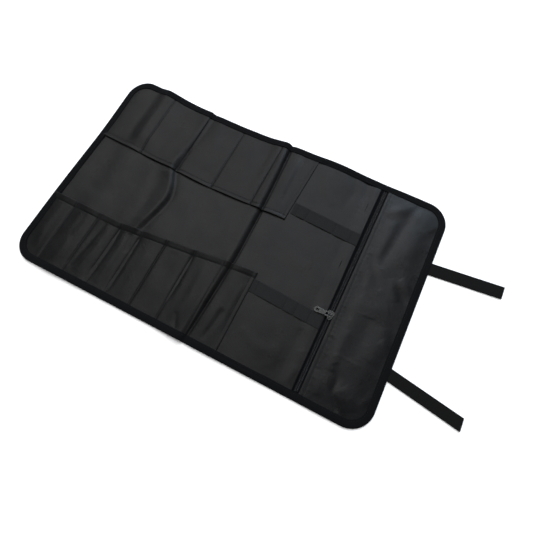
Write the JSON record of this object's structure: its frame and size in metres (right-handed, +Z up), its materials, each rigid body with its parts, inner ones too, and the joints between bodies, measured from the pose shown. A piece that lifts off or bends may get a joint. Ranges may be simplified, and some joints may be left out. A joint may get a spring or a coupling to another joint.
{
  "type": "brush roll case",
  "caption": "Roll-up fabric brush case laid open flat, with bound edges, two rows of pockets, elastic bands, a zipped end pocket and closure loops.",
  "frame": {"origin": "on the ground under the middle of the whole object's box, closure loops included", "axes": "+X from the free end to the closure loops, +Y from the near edge to the far edge, +Z up out of the pockets' side"},
  "size_m": [0.664, 0.35, 0.0091],
  "materials": {
    "panel_cloth": "coated woven nylon, charcoal, soft sheen",
    "pocket_cloth": "coated woven nylon, charcoal, a little glossier",
    "binding_tape": "ribbed grosgrain tape, near black",
    "band_elastic": "woven elastic, matte dark grey",
    "loop_elastic": "woven elastic, matte black",
    "zip_tape": "herringbone woven tape, blue-black",
    "zip_coil": "nylon coil, dark grey",
    "zip_metal": "dark nickel, worn bright on its edges"
  },
  "bodies": {
    "section_1": {"back_panel_1": "panel_cloth", "binding_left_end": "binding_tape", "far_pocket_strip_1": "pocket_cloth", "near_pocket_strip_1": "pocket_cloth"},
    "section_2": {"back_panel_2": "panel_cloth", "binding_near_2": "binding_tape", "binding_far_2": "binding_tape", "far_pocket_strip_2": "pocket_cloth", "near_pocket_strip_2": "pocket_cloth"},
    "section_3": {"back_panel_3": "panel_cloth", "binding_near_3": "binding_tape", "binding_far_3": "binding_tape", "far_pocket_strip_3": "pocket_cloth", "near_pocket_strip_3": "pocket_cloth"},
    "section_4": {"back_panel_4": "panel_cloth", "binding_near_4": "binding_tape", "binding_far_4": "binding_tape", "far_pocket_strip_4": "pocket_cloth", "near_pocket_strip_4": "pocket_cloth"},
    "section_5": {"back_panel_5": "panel_cloth", "binding_near_5": "binding_tape", "binding_far_5": "binding_tape", "far_pocket_strip_5": "pocket_cloth", "near_pocket_strip_5": "pocket_cloth"},
    "section_6": {"back_panel_6": "panel_cloth", "binding_near_6": "binding_tape", "binding_far_6": "binding_tape", "far_pocket_strip_6": "pocket_cloth", "near_pocket_strip_6": "pocket_cloth"},
    "section_7": {"back_panel_7": "panel_cloth", "binding_near_7": "binding_tape", "binding_far_7": "binding_tape", "far_pocket_strip_7": "pocket_cloth", "near_pocket_strip_7": "pocket_cloth"},
    "section_8": {"back_panel_8": "panel_cloth", "binding_near_8": "binding_tape", "binding_far_8": "binding_tape", "far_elastic_band_8": "band_elastic", "near_elastic_band_8": "band_elastic"},
    "section_9": {"back_panel_9": "panel_cloth", "binding_near_9": "binding_tape", "binding_far_9": "binding_tape", "far_elastic_band_9": "band_elastic", "near_elastic_band_9": "band_elastic", "zip_facing": "panel_cloth", "zip_tape_left": "zip_tape", "zip_tape_right": "zip_tape", "zip_coil_left": "zip_coil", "zip_coil_right": "zip_coil", "zip_pocket_front_9": "pocket_cloth"},
    "section_10": {"back_panel_10": "panel_cloth", "binding_right_end": "binding_tape", "zip_pocket_front_10": "pocket_cloth"},
    "slider": {"zip_slider": "zip_metal"},
    "pull": {"zip_pull_link": "zip_metal", "zip_pull_tab": "zip_metal"},
    "far_loop_side": {"far_closure_loop_side": "loop_elastic"},
    "far_loop_tip": {"far_closure_loop_tip": "loop_elastic"},
    "near_loop_side": {"near_closure_loop_side": "loop_elastic"},
    "near_loop_tip": {"near_closure_loop_tip": "loop_elastic"}
  },
  "joints": [
    {"name": "fold_9", "type": "hinge", "parent": "section_10", "child": "section_9", "pos_m": [0.1504, 0, 0.0041], "axis": [0, 1, 0], "range_deg": [0, 90]},
    {"name": "fold_8", "type": "hinge", "parent": "section_9", "child": "section_8", "pos_m": [0.0811, 0, 0.0041], "axis": [0, 1, 0], "range_deg": [0, 82.8]},
    {"name": "fold_7", "type": "hinge", "parent": "section_8", "child": "section_7", "pos_m": [0.0154, 0, 0.0041], "axis": [0, 1, 0], "range_deg": [0, 90.4]},
    {"name": "fold_6", "type": "hinge", "parent": "section_7", "child": "section_6", "pos_m": [-0.0503, 0, 0.0041], "axis": [0, 1, 0], "range_deg": [0, 94.4]},
    {"name": "fold_5", "type": "hinge", "parent": "section_6", "child": "section_5", "pos_m": [-0.1076, 0, 0.0041], "axis": [0, 1, 0], "range_deg": [0, 90.3]},
    {"name": "fold_4", "type": "hinge", "parent": "section_5", "child": "section_4", "pos_m": [-0.1601, 0, 0.0041], "axis": [0, 1, 0], "range_deg": [0, 90.9]},
    {"name": "fold_3", "type": "hinge", "parent": "section_4", "child": "section_3", "pos_m": [-0.208, 0, 0.0041], "axis": [0, 1, 0], "range_deg": [0, 95.9]},
    {"name": "fold_2", "type": "hinge", "parent": "section_3", "child": "section_2", "pos_m": [-0.2546, 0, 0.0041], "axis": [0, 1, 0], "range_deg": [0, 93.3]},
    {"name": "fold_1", "type": "hinge", "parent": "section_2", "child": "section_1", "pos_m": [-0.2925, 0, 0.0041], "axis": [0, 1, 0], "range_deg": [0, 98.6]},
    {"name": "slider_run", "type": "slide", "parent": "section_9", "child": "slider", "axis": [0, 1, 0], "range_m": [-0.1, 0.203]},
    {"name": "pull_flip", "type": "hinge", "parent": "slider", "child": "pull", "pos_m": [0.1263, -0.052, 0.0074], "axis": [0, 1, 0], "range_deg": [0, 166]},
    {"name": "far_loop_rise", "type": "hinge", "parent": "section_10", "child": "far_loop_side", "pos_m": [0.2282, 0.075, 0.0027], "axis": [0, -1, 0], "range_deg": [0, 90]},
    {"name": "far_loop_turn", "type": "hinge", "parent": "far_loop_side", "child": "far_loop_tip", "pos_m": [0.3117, 0.075, 0.0027], "axis": [0, -1, 0], "range_deg": [0, 90]},
    {"name": "near_loop_rise", "type": "hinge", "parent": "section_10", "child": "near_loop_side", "pos_m": [0.2282, -0.089, 0.0027], "axis": [0, -1, 0], "range_deg": [0, 90]},
    {"name": "near_loop_turn", "type": "hinge", "parent": "near_loop_side", "child": "near_loop_tip", "pos_m": [0.3117, -0.089, 0.0027], "axis": [0, -1, 0], "range_deg": [0, 90]}
  ],
  "couplings": [
    {"joint": "fold_8", "follows": "fold_9", "ratio": 0.92},
    {"joint": "fold_7", "follows": "fold_9", "ratio": 1.0044},
    {"joint": "fold_6", "follows": "fold_9", "ratio": 1.0489},
    {"joint": "fold_5", "follows": "fold_9", "ratio": 1.0033},
    {"joint": "fold_4", "follows": "fold_9", "ratio": 1.01},
    {"joint": "fold_3", "follows": "fold_9", "ratio": 1.0656},
    {"joint": "fold_2", "follows": "fold_9", "ratio": 1.0367},
    {"joint": "fold_1", "follows": "fold_9", "ratio": 1.0956},
    {"joint": "far_loop_turn", "follows": "far_loop_rise", "ratio": 1},
    {"joint": "near_loop_turn", "follows": "near_loop_rise", "ratio": 1}
  ]
}
